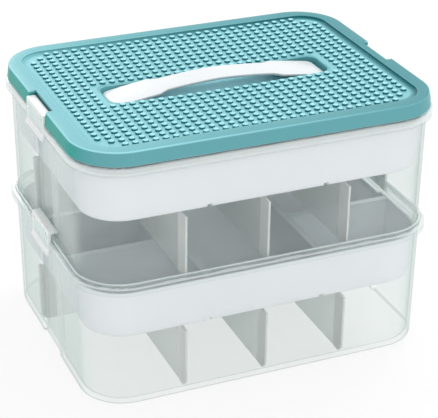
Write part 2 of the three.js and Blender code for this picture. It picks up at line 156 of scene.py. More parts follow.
def softCopy(nodeName, name, width):
    # A merged copy of a CAD solid whose flat faces are whole again, with its edges rounded
    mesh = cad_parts[nodeName].data.copy()
    mesh.name = name
    work = bmesh.new()
    work.from_mesh(mesh)
    bmesh.ops.remove_doubles(work, verts=work.verts, dist=meshValues["copyMerge"] / 1000)
    flat = math.radians(meshValues["flatAngle"])
    bmesh.ops.dissolve_limit(work, angle_limit=flat, verts=work.verts, edges=work.edges)
    work.to_mesh(mesh)
    work.free()
    mesh.materials.clear()
    smoothShading(mesh, meshValues["sharpAngle"])
    piece = addObject(name, mesh)
    softenEdges(piece, width)
    return piece


def settle(piece, body, material, replaced=()):
    piece.data.materials.append(material)
    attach(piece, body)
    if replaced:
        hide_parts(*replaced)


def arc(centreRadius, centreHeight, radius, fromAngle, toAngle, steps=4):
    # Profile places on a circle: radius and height, by angle in degrees
    angle = np.radians(np.linspace(fromAngle, toAngle, steps + 1))
    return list(zip(centreRadius + radius * np.cos(angle), centreHeight + radius * np.sin(angle)))


def toned(places, tones):
    # Profile places with a third number: one tone for all of them, or one for each
    tones = np.broadcast_to(tones, len(places))
    return [(radius, height, tone) for (radius, height), tone in zip(places, tones)]


# The box seen from above. Its corner centres serve for every ring, and its ends are cut back
# over a gap, for the latches.
planValues = {
    "cornerX": 110,
    "cornerY": 74,
    "cornerSteps": 20,
    "sideSteps": 18,
    "endPlaces": (60, 42, 24.05, 23.95, 22.1, 22.03, 21.95, 11),  # each side of an end's middle
    "outerGap": 22,  # half the gap's width on the outside, and then on the inside
    "innerGap": 24,
    "raiseMargin": 0.05,  # how much wider the gap is for what is raised over it
    "unlimited": 1e4,  # a reach or a height that cuts nothing
}


def planOutline(cornerSteps, sideSteps, endShares):
    # A rounded rectangle, anticlockwise: corner place (x, y), outward direction (x, y) and
    # whether the point is on a straight end. Each quarter is the first one turned.
    arcShare = np.linspace(0, 1, cornerSteps + 1)
    sideShare = np.linspace(1, -1, sideSteps + 1)[1:-1]
    parts = []
    for quarter in range(4):
        angle = (quarter + arcShare) * math.pi / 2
        cornerPlace = np.array([(1, 1), (-1, 1), (-1, -1), (1, -1)][quarter])
        corner = np.tile(cornerPlace, (len(arcShare), 1))
        parts.append(np.column_stack([corner, np.cos(angle), np.sin(angle), np.zeros(len(arcShare))]))
        along = endShares if quarter % 2 else sideShare
        turnCos, turnSin = round(math.cos(quarter * math.pi / 2)), round(math.sin(quarter * math.pi / 2))
        ones = np.ones(len(along))
        parts.append(np.column_stack([
            along * turnCos - turnSin, along * turnSin + turnCos, -turnSin * ones, turnCos * ones,
            ones * (quarter % 2),
        ]))
    return np.concatenate(parts)


endPlaces = np.array(planValues["endPlaces"])
endShares = np.concatenate([endPlaces, [0], -endPlaces[::-1]]) / planValues["cornerY"]
boxOutline = planOutline(planValues["cornerSteps"], planValues["sideSteps"], endShares)
plainOutline = planOutline(cornerSteps=3, sideSteps=1, endShares=np.zeros(0))


def level(radius, height, reach=planValues["unlimited"], low=-planValues["unlimited"], half=None,
          dished=0, gap=planValues["outerGap"], tone=0, cutTone=None):
    # One ring: its corner radius and height. reach is how far the ends may go inside the gap, low
    # the least height there, half the corner centres, dished how much of the dish it takes, and
    # cutTone the tone inside the gap, if it is another.
    halfX, halfY = half or (planValues["cornerX"], planValues["cornerY"])
    return [halfX, halfY, radius, height, reach, low, dished, gap, tone, tone if cutTone is None else cutTone]


def dishAt(x, y, values):
    # Depth of the lid's dish: a parabola along the lid, times an end depth plus a parabola across
    along = np.clip(1 - (x / values["fieldX"]) ** 2, 0, 1)
    across = np.clip(1 - (y / values["fieldY"]) ** 2, 0, 1)
    return along * (values["dishEnd"] + values["dishMiddle"] * across)


def loft(levels, outline, dishValues=None):
    # Rings from levels: corner place times half size plus direction times radius, cut back on
    # the straight ends where the gap is
    table = np.array(levels).T[:, :, None]
    halfX, halfY, radius, height, reach, low, dished, gap, tone, cutTone = table
    placeX, placeY, outX, outY, onEnd = outline.T
    x = halfX * placeX + radius * outX
    y = halfY * placeY + radius * outY
    z = height + 0 * x
    raised = (onEnd > 0) & (np.abs(y) <= gap + planValues["raiseMargin"])
    cut = (onEnd > 0) & (np.abs(y) <= gap)
    z = np.where(raised, np.maximum(z, low), z)
    x = np.where(cut, np.sign(x) * np.minimum(np.abs(x), reach), x)
    if dishValues:
        z = z - dished * dishAt(x, y, dishValues)
    return ringsToShell(np.stack([x, y, z], axis=-1), np.where(cut, cutTone, tone))


def startMaterial(name):
    material = bpy.data.materials.new(name)
    material.use_nodes = True
    nodes, links = material.node_tree.nodes, material.node_tree.links
    place = nodes.new("ShaderNodeTexCoord").outputs["Object"]
    return material, nodes, links, nodes["Principled BSDF"], place


def noise(nodes, links, place, scale, detail=3, stretch=None):
    # stretch scales the pattern along each axis
    texture = nodes.new("ShaderNodeTexNoise")
    texture.inputs["Scale"].default_value = scale
    texture.inputs["Detail"].default_value = detail
    if stretch:
        mapping = nodes.new("ShaderNodeMapping")
        mapping.inputs["Scale"].default_value = stretch
        links.new(place, mapping.inputs["Vector"])
        place = mapping.outputs["Vector"]
    links.new(place, texture.inputs["Vector"])
    return texture.outputs["Fac"]


def pointNumber(nodes, name):
    attribute = nodes.new("ShaderNodeAttribute")
    attribute.attribute_name = name
    return attribute.outputs["Fac"]


def spread(nodes, links, source, low, high, fromLow=0.3, fromHigh=0.7):
    # Maps a range of the source, by default a noise pattern's middle one, onto low to high
    ranger = nodes.new("ShaderNodeMapRange")
    ranger.inputs["From Min"].default_value = fromLow
    ranger.inputs["From Max"].default_value = fromHigh
    ranger.inputs["To Min"].default_value = low
    ranger.inputs["To Max"].default_value = high
    links.new(source, ranger.inputs["Value"])
    return ranger.outputs["Result"]


def calculate(nodes, links, operation, first, second, clamped=False):
    # first is a socket, second a socket or a number
    step = nodes.new("ShaderNodeMath")
    step.operation = operation
    step.use_clamp = clamped
    links.new(first, step.inputs[0])
    if isinstance(second, (int, float)):
        step.inputs[1].default_value = second
    else:
        links.new(second, step.inputs[1])
    return step.outputs["Value"]


def blendColours(nodes, links, share, first, second):
    mixer = nodes.new("ShaderNodeMix")
    mixer.data_type = "RGBA"
    for socket, colour in (("A", first), ("B", second)):
        if isinstance(colour, (tuple, list)):
            mixer.inputs[socket].default_value = (*colour, 1)
        else:
            links.new(colour, mixer.inputs[socket])
    links.new(share, mixer.inputs["Factor"])
    return mixer.outputs["Result"]


def mixShaders(nodes, links, share, first, second):
    mixer = nodes.new("ShaderNodeMixShader")
    links.new(share, mixer.inputs["Fac"])
    links.new(first, mixer.inputs[1])
    links.new(second, mixer.inputs[2])
    return mixer.outputs["Shader"]


def bumps(nodes, links, heights):
    # Chains bumps: each is a pattern, its strength and its depth
    normal = None
    for source, strength, depth in heights:
        bump = nodes.new("ShaderNodeBump")
        bump.inputs["Strength"].default_value = strength
        bump.inputs["Distance"].default_value = depth / 1000
        links.new(source, bump.inputs["Height"])
        if normal:
            links.new(normal, bump.inputs["Normal"])
        normal = bump.outputs["Normal"]
    return normal


# How deep the patterns that roughen the plastics are
bumpDepths = {"grain": 0.03, "sink": 0.4, "flow": 0.6, "scuff": 0.02}


def mouldedPlastic(name, values):
    # Opaque moulded plastic: slow tone drift, a fine satin grain and a faint sink over wide faces. A point's
    # tone blends it to the deep colour, painted shade, up to 1 and to the pale one, painted light and
    # highlights, down to -1, and its side number blends it to the side colour, painted shade.
    material, nodes, links, shader, place = startMaterial(name)
    drift = noise(nodes, links, place, values["driftScale"])
    colour = blendColours(nodes, links, spread(nodes, links, drift, 0, 1), values["dark"], values["light"])
    # The side colour is painted shade
    if "side" in values:
        colour = blendColours(nodes, links, pointNumber(nodes, "side"), colour, values["side"])
    # The point's tone paints shade and light into the colour
    tone = pointNumber(nodes, "tone")
    colour = blendColours(nodes, links, spread(nodes, links, tone, 0, 1, 0, 1), colour, values["paintedShade"])
    colour = blendColours(nodes, links, spread(nodes, links, tone, 0, 1, 0, -1), colour, values["paintedLight"])
    links.new(colour, shader.inputs["Base Color"])
    patch = noise(nodes, links, place, values["patchScale"], detail=5)
    links.new(spread(nodes, links, patch, *values["roughness"]), shader.inputs["Roughness"])
    grain = noise(nodes, links, place, values["grainScale"], detail=2)
    sink = noise(nodes, links, place, values["sinkScale"], detail=1)
    normal = bumps(nodes, links, [(grain, values["grainStrength"], bumpDepths["grain"]),
                                  (sink, values["sinkStrength"], bumpDepths["sink"])])
    links.new(normal, shader.inputs["Normal"])
    shader.inputs["Specular IOR Level"].default_value = values["specular"]
    shader.inputs["Specular Tint"].default_value = (*values.get("glossTint", (1, 1, 1)), 1)
    return material


def seeThroughPlastic(name, values):
    # Clear plastic as a thin pane: tinted by how far light runs in it, mirror-like by Schlick's law (a base
    # share plus the rest times the fifth power of the slant), with a milky share. A point's tone makes it
    # milkier up to 1, which on the tubs' rims also paints highlights, and takes the tint to the darker one,
    # painted shade, down to -1.
    material, nodes, links, shader, place = startMaterial(name)
    haze = noise(nodes, links, place, values["hazeScale"], detail=4)
    colour = blendColours(nodes, links, spread(nodes, links, haze, 0, 1), values["dark"], values["light"])
    links.new(colour, shader.inputs["Base Color"])
    roughness = spread(nodes, links, haze, *values["roughness"])
    links.new(roughness, shader.inputs["Roughness"])
    flow = noise(nodes, links, place, values["flowScale"], detail=1, stretch=values["flowStretch"])
    scuff = noise(nodes, links, place, values["scuffScale"], detail=6, stretch=values["scuffStretch"])
    normal = bumps(nodes, links, [(flow, values["flowStrength"], bumpDepths["flow"]),
                                  (scuff, values["scuffStrength"], bumpDepths["scuff"])])
    links.new(normal, shader.inputs["Normal"])
    shader.inputs["Specular IOR Level"].default_value = values["specular"]

    weight = nodes.new("ShaderNodeLayerWeight")
    weight.inputs["Blend"].default_value = 0.5
    slant = weight.outputs["Facing"]
    tone = pointNumber(nodes, "tone")
    along = calculate(nodes, links, "POWER", slant, values["tintPower"])
    tint = blendColours(nodes, links, along, values["tint"], values["edgeTint"])
    # Negative tones tint towards painted shade
    tint = blendColours(nodes, links, spread(nodes, links, tone, 0, 1, 0, -1), tint, values["shadeTint"])
    clear = nodes.new("ShaderNodeBsdfTransparent")
    links.new(tint, clear.inputs["Color"])
    gloss = nodes.new("ShaderNodeBsdfAnisotropic")
    links.new(roughness, gloss.inputs["Roughness"])
    links.new(normal, gloss.inputs["Normal"])
    fifth = calculate(nodes, links, "POWER", slant, 5)
    mirror = spread(nodes, links, fifth, values["mirror"], 1, 0, 1)
    pane = mixShaders(nodes, links, mirror, clear.outputs["BSDF"], gloss.outputs["BSDF"])

    slanted = calculate(nodes, links, "POWER", slant, values["milkPower"])
    slantMilk = spread(nodes, links, slanted, *values["milk"], 0, 1)
    toneMilk = spread(nodes, links, tone, 0, values["toneMilk"], 0, 1)
    milky = calculate(nodes, links, "ADD", toneMilk, slantMilk, clamped=True)
    whole = mixShaders(nodes, links, milky, pane, shader.outputs["BSDF"])
    links.new(whole, nodes["Material Output"].inputs["Surface"])
    return material


# In the opaque plastics the deep colour is painted shade and the pale one painted light and highlights; the
# lid's side colour is painted shade on its skirt's left end
lidPlastic = mouldedPlastic("lid_plastic", {
    "dark": (0.14, 0.4, 0.435), "light": (0.15, 0.42, 0.455), "driftScale": 14,
    "paintedShade": (0.0, 0.12, 0.14), "paintedLight": (0.45, 0.89, 0.97), "side": (0.03, 0.38, 0.33),
    "patchScale": 70, "roughness": (0.3, 0.38), "specular": 0.12, "glossTint": (0.35, 0.9, 1),
    "grainScale": 2600, "grainStrength": 0.25, "sinkScale": 30, "sinkStrength": 0.08,
})
latchPlastic = mouldedPlastic("latch_plastic", {
    "dark": (0.9, 0.925, 0.92), "light": (0.915, 0.94, 0.935), "driftScale": 30,
    "paintedShade": (0.68, 0.82, 0.78), "paintedLight": (0.9, 0.92, 0.92),
    "patchScale": 120, "roughness": (0.24, 0.34), "specular": 0.5,
    "grainScale": 2600, "grainStrength": 0.1, "sinkScale": 30, "sinkStrength": 0.01,
})
gripPlastic = mouldedPlastic("grip_plastic", {
    "dark": (0.755, 0.79, 0.81), "light": (0.785, 0.815, 0.835), "driftScale": 20,
    "paintedShade": (0.2, 0.28, 0.3), "paintedLight": (0.9, 0.92, 0.92),
    "patchScale": 110, "roughness": (0.25, 0.36), "specular": 0.5,
    "grainScale": 2600, "grainStrength": 0.2, "sinkScale": 30, "sinkStrength": 0.05,
})
trayPlastic = mouldedPlastic("tray_plastic", {
    "dark": (0.9, 0.91, 0.945), "light": (0.92, 0.93, 0.965), "driftScale": 16,
    "paintedShade": (0.6, 0.63, 0.64), "paintedLight": (0.95, 0.96, 0.98),
    "patchScale": 80, "roughness": (0.36, 0.48), "specular": 0.4,
    "grainScale": 1800, "grainStrength": 0.3, "sinkScale": 25, "sinkStrength": 0.15,
})
clearPlastic = seeThroughPlastic("clear_plastic", {
    "dark": (0.83, 0.88, 0.88), "light": (0.87, 0.92, 0.92), "hazeScale": 45,
    "tint": (0.992, 0.998, 0.996), "edgeTint": (0.66, 0.83, 0.78), "shadeTint": (0.7, 0.76, 0.75),
    "tintPower": 4, "mirror": 0.03, "milk": (0.01, 0.3), "milkPower": 4, "toneMilk": 0.7,
    "roughness": (0.05, 0.11), "specular": 0.5,
    "flowScale": 14, "flowStretch": (1, 1, 0.35), "flowStrength": 0.05,
    "scuffScale": 160, "scuffStretch": (1, 1, 0.2), "scuffStrength": 0.15,
})
frostedPlastic = seeThroughPlastic("frosted_plastic", {
    "dark": (0.87, 0.88, 0.87), "light": (0.92, 0.925, 0.915), "hazeScale": 60,
    "tint": (0.97, 0.985, 0.98), "edgeTint": (0.8, 0.87, 0.85), "shadeTint": (0.6, 0.65, 0.64),
    "tintPower": 3, "mirror": 0.03, "milk": (0.26, 0.5), "milkPower": 2, "toneMilk": 0.5,
    "roughness": (0.34, 0.46), "specular": 0.4,
    "flowScale": 20, "flowStretch": (1, 1, 0.5), "flowStrength": 0.1,
    "scuffScale": 700, "scuffStretch": (1, 1, 1), "scuffStrength": 0.3,
})
print("materials made")

# The wall, the flange and the upstand are corner radii of rings, and heights start at the foot
tubValues = {
    "storey": 100,
    "wall": 38,
    "thickness": 2.2,
    "draft": 0.012,  # for each millimetre of height
    "wallHeights": (8, 30, 60),
    "innerHeights": (60, 30),
    "footRound": 3,
    "footShade": (0, -0.3, -0.8, -1, -1, -0.7, -0.3, 0),  # painted shade: a dark line low on the foot
    "floor": 2.6,
    "fillet": 5,
    "neck": 98,
    "upstandInside": 37.25,
    "upstandOutside": 38.75,
    "upstandTop": 109.5,
    "upstandRound": 0.6,
    "flangeOutside": 42.4,
    "flangeTop": 107,
    "flangeThickness": 1.8,
    "flangeRound": 1,
    "lipThickness": 1.6,
    "lipLow": 100.5,
    "lipRound": 0.5,
    "shoulder": 100.46,  # the seat of the tray's flange
    "channelBack": 143.8,  # x of the channel's face outside, and then inside
    "channelInner": 141.8,
    "channelTop": 97,
    "stepHeight": 0.05,
    # The rims' tones: the upstand's and the crown's are painted highlights with the milkiness of the thicker
    # folds, the standing edge's and the lower band's negative ones are painted shade, and the upper band is
    # milky white
    "upstandHighlight": 0.7,
    "rims": {"lower": {"bandHeight": 3, "bandTone": -0.2, "crownHighlight": 0.9, "standingShade": -0.9},
             "upper": {"bandHeight": 4.4, "bandTone": 1, "crownHighlight": 0.9, "standingShade": 0}},
}


def tubOutside(height, values):
    # The outer wall leans out by its draft for each millimetre of height
    foot = values["wall"] - values["draft"] * values["storey"]
    return foot + values["draft"] * height


def tubInside(height, values):
    return tubOutside(height, values) - values["thickness"]


def tubWallLevels(values):
    # The rounded foot and the outer wall up to the neck, with a channel in each end
    footRound, back = values["footRound"], values["channelBack"]
    # The foot's tones paint a dark line of shade on it
    places = toned(arc(tubOutside(0, values) - footRound, footRound, footRound, -90, 0, steps=7),
                   values["footShade"])
    rings = [level(radius, height, back, tone=tone) for radius, height, tone in places]
    top, step = values["channelTop"], values["stepHeight"]
    heights = (*values["wallHeights"], top - step)
    rings += [level(tubOutside(height, values), height, back) for height in heights]
    limit = planValues["cornerX"] + values["upstandOutside"]
    rings += [level(tubOutside(height, values), height, limit) for height in (top + step, values["neck"])]
    return rings


def tubRimLevels(values, rimValues):
    # Out under the flange, round its down-turned lip, up its band, over its crown and up and down
    # the upstand
    standing, underside = values["upstandOutside"], values["flangeTop"] - values["flangeThickness"]
    limit = planValues["cornerX"] + standing
    rings = [level(standing, height, limit) for height in (values["storey"], underside)]
    outside, lipRound = values["flangeOutside"], values["lipRound"]
    inside, lipMiddle = outside - values["lipThickness"], values["lipLow"] + lipRound
    places = toned([(inside, underside)], 0)
    places += toned(arc(inside + lipRound, lipMiddle, lipRound, 180, 270), 0)
    places += toned(arc(outside - lipRound, lipMiddle, lipRound, -90, 0), 0)
    crown, edge = values["flangeTop"], values["flangeRound"]
    # Painted highlights on the crown and the upstand, painted shade on the standing edge and the lower band
    band, bandTone, crownHighlight = crown - rimValues["bandHeight"], rimValues["bandTone"], rimValues["crownHighlight"]
    places += [(outside, band - values["stepHeight"], 0), (outside, band, bandTone),
               (outside, crown - edge, bandTone)]
    places += toned(arc(outside - edge, crown - edge, edge, 0, 90)[1:], crownHighlight)
    places += [(standing + edge, crown, crownHighlight)]
    places += toned(arc(standing + edge, crown + edge, edge, 270, 180), rimValues["standingShade"])
    upstandRound, upstandHighlight = values["upstandRound"], values["upstandHighlight"]
    top = values["upstandTop"] - upstandRound
    places += toned(arc(standing - upstandRound, top, upstandRound, 0, 90), upstandHighlight)
    places += toned(arc(values["upstandInside"] + upstandRound, top, upstandRound, 90, 180), upstandHighlight)
    return rings + [level(radius, height, limit, underside, tone=tone) for radius, height, tone in places]


def tubInnerLevels(values):
    # From the upstand in over the shoulder, down inside the wall and in over the floor's fillet
    shoulder, neck, step = values["shoulder"], values["neck"], values["stepHeight"]
    rings = [level(values["upstandInside"], shoulder), level(tubInside(values["storey"], values), shoulder),
             level(tubInside(neck, values), neck + step)]
    places = [(tubInside(height, values), height) for height in (neck - step, *values["innerHeights"])]
    fillet = values["fillet"]
    filletTop = values["floor"] + fillet
    places += arc(tubInside(filletTop, values) - fillet, filletTop, fillet, 0, -90, steps=8)
    inner, gap = values["channelInner"], planValues["innerGap"]
    return rings + [level(radius, height, inner, gap=gap) for radius, height in places]


for prefix, lift in (("lower", 0), ("upper", tubValues["storey"])):
    levels = tubWallLevels(tubValues) + tubRimLevels(tubValues, tubValues["rims"][prefix])
    levels += tubInnerLevels(tubValues)
    tub = meshFrom(prefix + "_tub_shell", [moved(loft(levels, boxOutline), (0, 0, lift))])
    settle(tub, prefix + "_tub", clearPlastic, (prefix + "_tub",))
print("tubs made")

# Trays and dividers keep the solids' shapes, with their edges rounded. A divider has the axis
# across its sheet and where the sheet's middle is on it.
innerValues = {
    "trayEdge": 0.5,
    "dividerEdge": 0.25,
    "bandFrom": 0.75,
    "dividers": {"long_divider": (1, 36), "cross_divider_left": (0, -69), "cross_divider_middle": (0, 0),
                 "cross_divider_right": (0, 69)},
}

for prefix in ("lower", "upper"):
    tray = softCopy(prefix + "_tray", prefix + "_tray_body", innerValues["trayEdge"])
    settle(tray, prefix + "_tray", trayPlastic, (prefix + "_tray",))
    for kind, (axis, middle) in innerValues["dividers"].items():
        node = prefix + "_" + kind
        panel = softCopy(node, node + "_panel", innerValues["dividerEdge"])
        # Tone 1 on the thicker bands at a divider's ends, 0 on its thin sheet
        onBand = np.abs(meshPoints(panel.data)[:, axis] - middle) > innerValues["bandFrom"]
        setPointNumbers(panel.data, "tone", onBand)
        settle(panel, node, frostedPlastic, (node,))
print("trays and dividers made")

lidValues = {
    "top": 219.8,
    "skirtLow": 208.3,
    "skirtInside": 39.05,
    "skirtOutside": 40.9,
    "skirtEdge": 0.5,
    "skirtHeights": (215, 217.5),
    "radius": 39.7,
    "edge": 1.5,
    "seat": 209.8,  # over the tub's upstand
    "seatInside": 36.95,
    "thickness": 2.2,
    "rimInside": 27.7,
    "rimWall": 2.25,
    "rimEdge": 0.7,
    "rimFlat": 5,
    "field": 217.5,
    "fieldX": 136.7,  # half the dish's length, and then its depth across
    "fieldY": 100.7,
    "dishEnd": 0.36,
    "dishMiddle": 2.3,
    "fieldSteps": 16,
    "recessHalf": (115, 79),  # corner centres of the recess
    "recessWall": 1.05,  # how far under the rim its wall is in full shade
    "fieldFillet": 1.6,
    "notchBack": 143.8,  # x of the notch's face outside, and then inside
    "notchInner": 141.8,
    "ledge": 213.5,
    "shell": 2,
    "stepHeight": 0.05,
    "pocketHalf": (86, 9),
    "pocketCorner": 9,
    "pocketFloor": 209.5,
    "pocketFillet": 1.2,
    "pocketEdge": 0.4,
    "pocketDepth": 0.8,  # how far under the field its wall starts
    "pocketWall": 2,
    "pocketUnderRound": 1,
    "shadeReach": 4.5,  # of the recess's wall over the field
    # The tones that follow paint light and shade: highlights on the rounded edges, a sweep over the rim,
    # shade in the recess, its fillet, the pocket and the notch, and light on the field and the pocket's floor
    "edgeHighlight": 0.9,
    "rimLightToShade": (-0.25, 0.38),  # painted light at the left end and painted shade at the right
    "leftLight": 0.25,  # how far the painted shade turns to painted light at the left end
    "wallShade": 1,
    "filletShades": (1, 0.95, 0.9, 0.85, 0.8),
    "fieldLight": -0.34,
    "fieldLeft": 1.35,  # the field's painted light is this many times stronger at the left end
    "pocketShade": 0.5,
    "pocketFloorLight": -1,
    "notchShade": 0.9,
    "sideShadeFall": 7,  # the power by which the left end's painted shade falls off round the corners
}


def shares(count):
    # The inner divisions of 0 to 1
    return [index / count for index in range(1, count)]


def paintedHighlightEdge(places, values):
    # Tones over the places of a rounded edge: a painted highlight as a half sine, palest at its middle
    return toned(places, -values["edgeHighlight"] * np.sin(np.linspace(0, math.pi, len(places))))


def skirtRadius(height, values):
    # The skirt leans in evenly, from its low edge to the rim's rounded one
    outside, low, high = values["skirtOutside"], values["skirtLow"], values["top"] - values["edge"]
    return outside + (values["radius"] - outside) * (height - low) / (high - low)


def lidUnderLevels(values):
    # The pocket's underside, out under the dished field and down inside the rim to the seat
    pocket, underRound = values["pocketHalf"], values["pocketUnderRound"]
    corner = values["pocketCorner"] + values["pocketWall"]
    bottom = values["pocketFloor"] - values["pocketWall"]
    rings = [level(radius, height, half=pocket) for radius, height in
             arc(corner - underRound, bottom + underRound, underRound, -90, 0)]
    full = (planValues["cornerX"], planValues["cornerY"])
    under, rimUnder = values["field"] - values["thickness"], values["top"] - values["thickness"]
    keep = values["rimInside"] + values["rimWall"]
    rings += [level(corner, under, half=pocket, dished=1)]
    for share in shares(values["fieldSteps"]):
        half = tuple(near + (far - near) * share for near, far in zip(pocket, full))
        rings += [level(corner + (keep - corner) * share, under, half=half, dished=1)]
    rings += [level(keep, under, dished=1), level(keep, rimUnder)]
    seatInside, shellLow, step = values["seatInside"], values["ledge"] - values["shell"], values["stepHeight"]
    inner, gap = values["notchInner"], planValues["innerGap"]
    rings += [level(seatInside, height, inner, gap=gap) for height in (rimUnder, shellLow + step)]
    rings += [level(seatInside, height) for height in (shellLow - step, values["seat"])]
    return rings + [level(values["skirtInside"], values["seat"])]


def lidSkirtLevels(values):
    # Round the skirt's low edge, up its face past the notches' ledge and over onto the rim
    inside, outside, skirtEdge = values["skirtInside"], values["skirtOutside"], values["skirtEdge"]
    limit, seat, lowMiddle = planValues["cornerX"] + inside, values["seat"], values["skirtLow"] + skirtEdge
    places = toned(arc(inside + skirtEdge, lowMiddle, skirtEdge, 180, 270), 0)
    places += paintedHighlightEdge(arc(outside - skirtEdge, lowMiddle, skirtEdge, -90, 0), values)
    rings = [level(radius, height, limit, seat, tone=tone) for radius, height, tone in places]
    ledge, step, back = values["ledge"], values["stepHeight"], values["notchBack"]
    rings += [level(skirtRadius(height, values), height, limit) for height in (seat + step, ledge - step)]
    # Painted shade on the notch's face
    rings += [level(skirtRadius(height, values), height, back, cutTone=values["notchShade"])
              for height in (ledge + step, *values["skirtHeights"])]
    edge, top = values["edge"], values["top"]
    places = paintedHighlightEdge(arc(values["radius"] - edge, top - edge, edge, 0, 90, steps=7), values)
    rings += [level(radius, height, back, tone=tone, cutTone=0) for radius, height, tone in places]
    return rings + [level(values["radius"] - values["rimFlat"], top, back)]


def lidRecessLevels(values):
    # Down the recess's edge and wall, in over the field and down into the pocket
    recess, top, rimEdge = values["recessHalf"], values["top"], values["rimEdge"]
    corner = planValues["cornerX"] + values["rimInside"] - recess[0]
    places = paintedHighlightEdge(arc(corner + rimEdge, top - rimEdge, rimEdge, 90, 160, steps=3), values)
    # Painted shade down the recess's wall and its fillet
    places += [(corner, top - values["recessWall"], values["wallShade"])]
    rings = [level(radius, height, half=recess, tone=tone) for radius, height, tone in places]
    field, fillet, fieldLight = values["field"], values["fieldFillet"], values["fieldLight"]
    places = toned(arc(corner - fillet, field + fillet, fillet, 0, -90), values["filletShades"])
    fieldCorner = corner - fillet - values["shadeReach"]
    # Painted light on the field
    places += [(fieldCorner, field, fieldLight)]
    rings += [level(radius, height, half=recess, dished=1, tone=tone) for radius, height, tone in places]
    pocket, pocketCorner, pocketEdge = values["pocketHalf"], values["pocketCorner"], values["pocketEdge"]
    for share in shares(values["fieldSteps"]):
        half = tuple(far + (near - far) * share for near, far in zip(pocket, recess))
        rings += [level(fieldCorner + (pocketCorner - fieldCorner) * share, field, half=half, dished=1,
                        tone=fieldLight)]
    places = arc(pocketCorner + pocketEdge, field - pocketEdge, pocketEdge, 90, 180, steps=3)
    places = paintedHighlightEdge(places, values)
    # Painted shade down the pocket's wall
    places += [(pocketCorner, field - values["pocketDepth"], values["pocketShade"])]
    rings += [level(radius, height, half=pocket, dished=1, tone=tone) for radius, height, tone in places]
    pocketFloor, pocketFillet = values["pocketFloor"], values["pocketFillet"]
    places = arc(pocketCorner - pocketFillet, pocketFloor + pocketFillet, pocketFillet, 0, -90)
    # From the wall's painted shade to painted light on the pocket's floor
    places = toned(places, np.linspace(values["pocketShade"], values["pocketFloorLight"], len(places)))
    return rings + [level(radius, height, half=pocket, tone=tone) for radius, height, tone in places]


def shadeLid(shell, values):
    # From the lid's left end to its right one the recess's painted shade grows to full, the field and the
    # rim's flat top go from a paler painted light to a deeper painted shade, and the painted highlights on
    # the edges of the recess and the pocket fade
    points, faces, tones = shell
    share = np.clip(0.5 + points[:, 0] / (2 * values["fieldX"]), 0, 1)
    inside = np.abs(points[:, 0]) < values["notchInner"]
    tones = np.where(inside & (tones > 0), tones * share - values["leftLight"] * (1 - share), tones)
    onField = inside & (tones == values["fieldLight"])
    overFloor = points[:, 2] > values["pocketFloor"] + values["pocketFillet"]
    onEdge = inside & (tones < 0) & ~onField & overFloor
    left = values["fieldLeft"]
    tones = np.where(onField, tones * (left + (1 - left) * share), tones)
    tones = np.where(onEdge, tones * (1 - share), tones)
    # Painted light to painted shade across the rim's flat top, left to right
    onRim = points[:, 2] > values["top"] - values["stepHeight"]
    low, high = values["rimLightToShade"]
    return points, faces, np.where(onRim, low + (high - low) * share, tones)


def markSide(mesh, values):
    # The skirt gets painted shade, a greener colour, on its left end: a power of how far a point of it faces
    # that way, with its direction taken from the corner's centre
    points = meshPoints(mesh)
    past = np.maximum(np.abs(points[:, :2]) - (planValues["cornerX"], planValues["cornerY"]), 0)
    radius = np.hypot(past[:, 0], past[:, 1])
    share = np.where(points[:, 0] < 0, past[:, 0] / np.maximum(radius, 1), 0) ** values["sideShadeFall"]
    onSkirt = (radius > values["skirtInside"]) & (points[:, 2] < values["top"] - values["edge"] / 2)
    setPointNumbers(mesh, "side", share * onSkirt)


lidLevels = lidUnderLevels(lidValues) + lidSkirtLevels(lidValues) + lidRecessLevels(lidValues)
lid = meshFrom("lid_shell", [shadeLid(loft(lidLevels, boxOutline, lidValues), lidValues)])
markSide(lid.data, lidValues)
settle(lid, "lid", lidPlastic, ("lid",))
print("lid made")

studValues = {
    "pitch": 8,
    "columns": 33,
    "rows": 25,
    "radius": 2.45,
    "height": 1.75,
    "edge": 0.4,
    "edgeShare": 0.3,  # how far in the edge's middle ring is
    "sunk": 0.4,  # into the field
    "sides": 14,
    "tones": (0.88, 0.78, -0.35, -0.8),  # foot to top: painted shade on the sides, painted highlight on the top
    "sharpAngle": 50,
    "pocketColumns": (4, 28),  # first and last of those that the pocket takes
    "pocketRows": (10, 14),
}


def studPlaces(values):
    # The lattice, less three studs at each corner and the ones where the pocket is
    column, row = np.meshgrid(np.arange(values["columns"]), np.arange(values["rows"]))
    fromEndX = np.minimum(column, values["columns"] - 1 - column)
    fromEndY = np.minimum(row, values["rows"] - 1 - row)
    cornerCut = fromEndX + fromEndY <= 1
    inPocket = (column >= values["pocketColumns"][0]) & (column <= values["pocketColumns"][1])
    inPocket &= (row >= values["pocketRows"][0]) & (row <= values["pocketRows"][1])
    kept = ~(cornerCut | inPocket)
    x = (column - (values["columns"] - 1) / 2) * values["pitch"]
    y = (row - (values["rows"] - 1) / 2) * values["pitch"]
    return x[kept], y[kept]


def makeStuds(values):
    # Each stud: four rings of a circle, radius and height by ring, closed by a face at each end
    x, y = studPlaces(values)
    z = lidValues["field"] - dishAt(x, y, lidValues)
    angle = np.arange(values["sides"]) / values["sides"] * 2 * math.pi
    edge, height, share = values["edge"], values["height"], values["edgeShare"]
    radius = values["radius"] - np.array([0, 0, edge * share, edge])[:, None]
    rise = np.array([-values["sunk"], height - edge, height - edge * share, height])[:, None]
    rings = np.stack([radius * np.cos(angle), radius * np.sin(angle), rise + 0 * angle], axis=-1)
    # The tones paint shade on each stud's sides and a highlight on its top
    stud = ringsToShell(rings, values["tones"])
    return [moved(stud, place) for place in np.column_stack([x, y, z])]


studs = meshFrom("lid_studs", makeStuds(studValues), studValues["sharpAngle"])
settle(studs, "lid", lidPlastic)
print("studs made", len(studPlaces(studValues)[0]))

